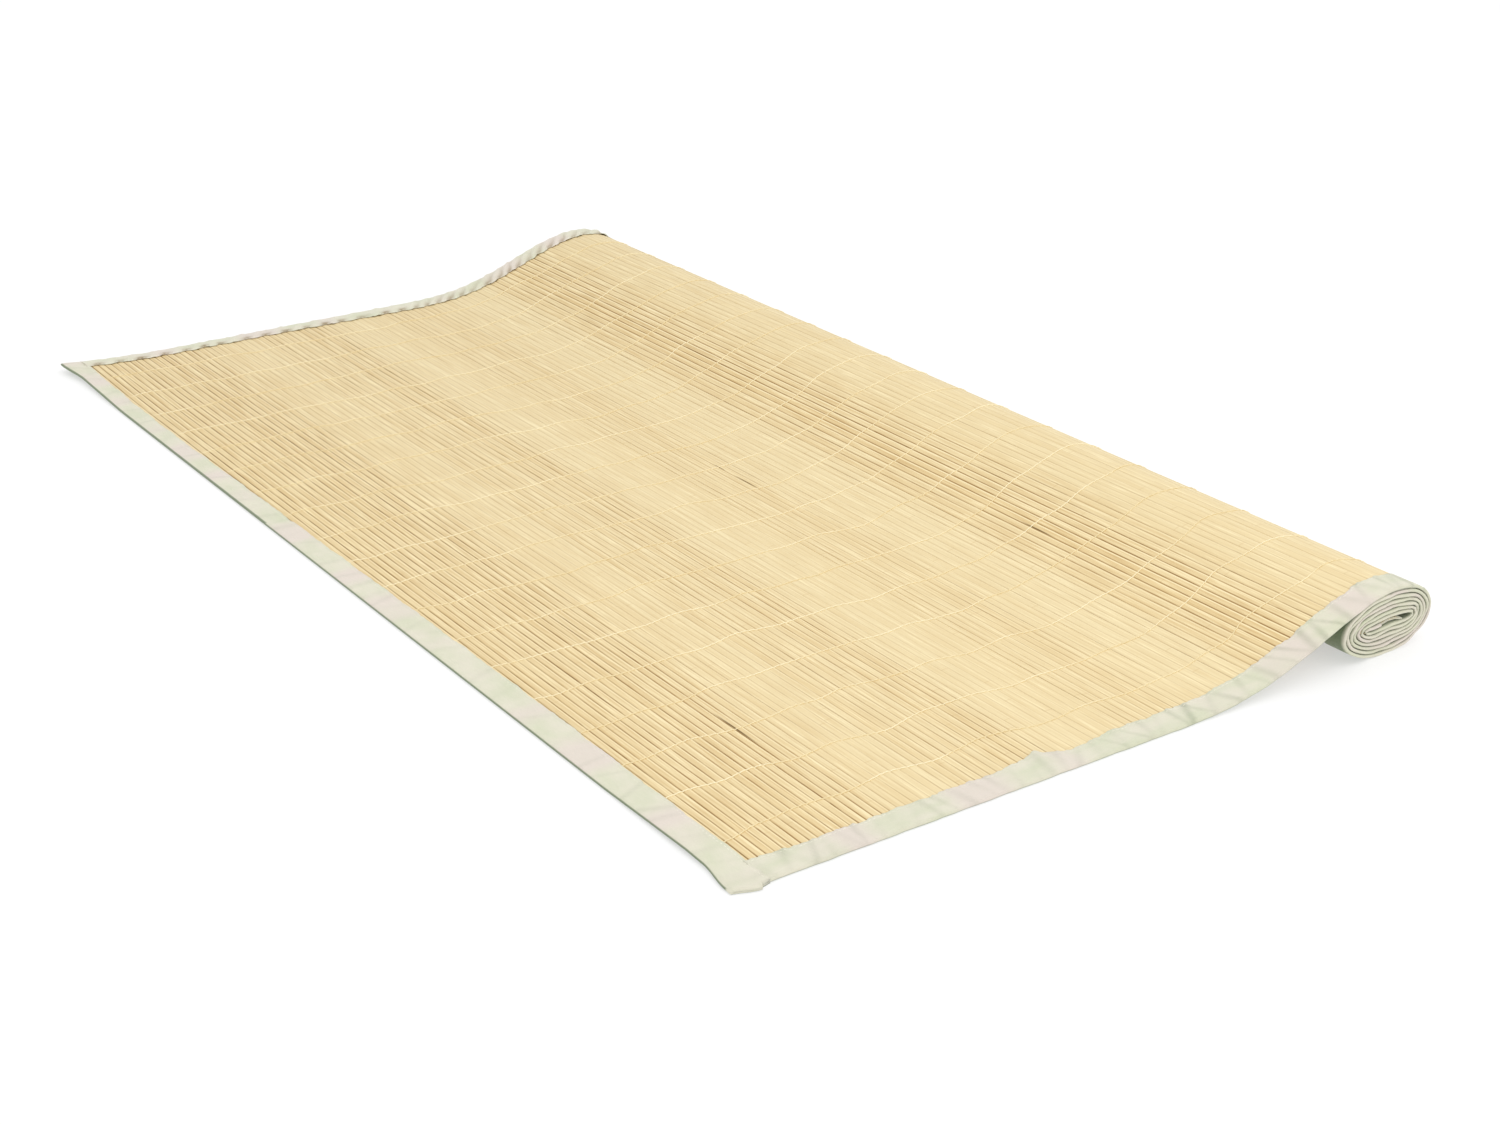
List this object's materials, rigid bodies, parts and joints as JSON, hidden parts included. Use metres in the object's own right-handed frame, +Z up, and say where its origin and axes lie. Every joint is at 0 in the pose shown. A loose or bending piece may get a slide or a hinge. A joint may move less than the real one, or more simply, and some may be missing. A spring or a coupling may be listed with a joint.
{
  "type": "bamboo mat",
  "caption": "Bamboo slat floor mat with cloth-bound edges, lying open at one end and wound into a low flattened roll at the other.",
  "frame": {"origin": "middle of the mat's underside, on the floor: the centre of its bounding box in X and Y, and its lowest height", "axes": "+X from the free front edge to the roll, +Y along the slats and the roll's length, +Z up"},
  "size_m": [0.6404, 1.205, 0.0541],
  "materials": {
    "bamboo": "split bamboo, satin",
    "near_cloth": "cotton tape, matt",
    "far_cloth": "cotton tape, matt",
    "front_cloth": "cotton tape, matt"
  },
  "bodies": {
    "root": {"slat_sheet": "bamboo", "near_binding": "near_cloth", "far_binding": "far_cloth", "front_binding": "front_cloth"}
  },
  "joints": []
}
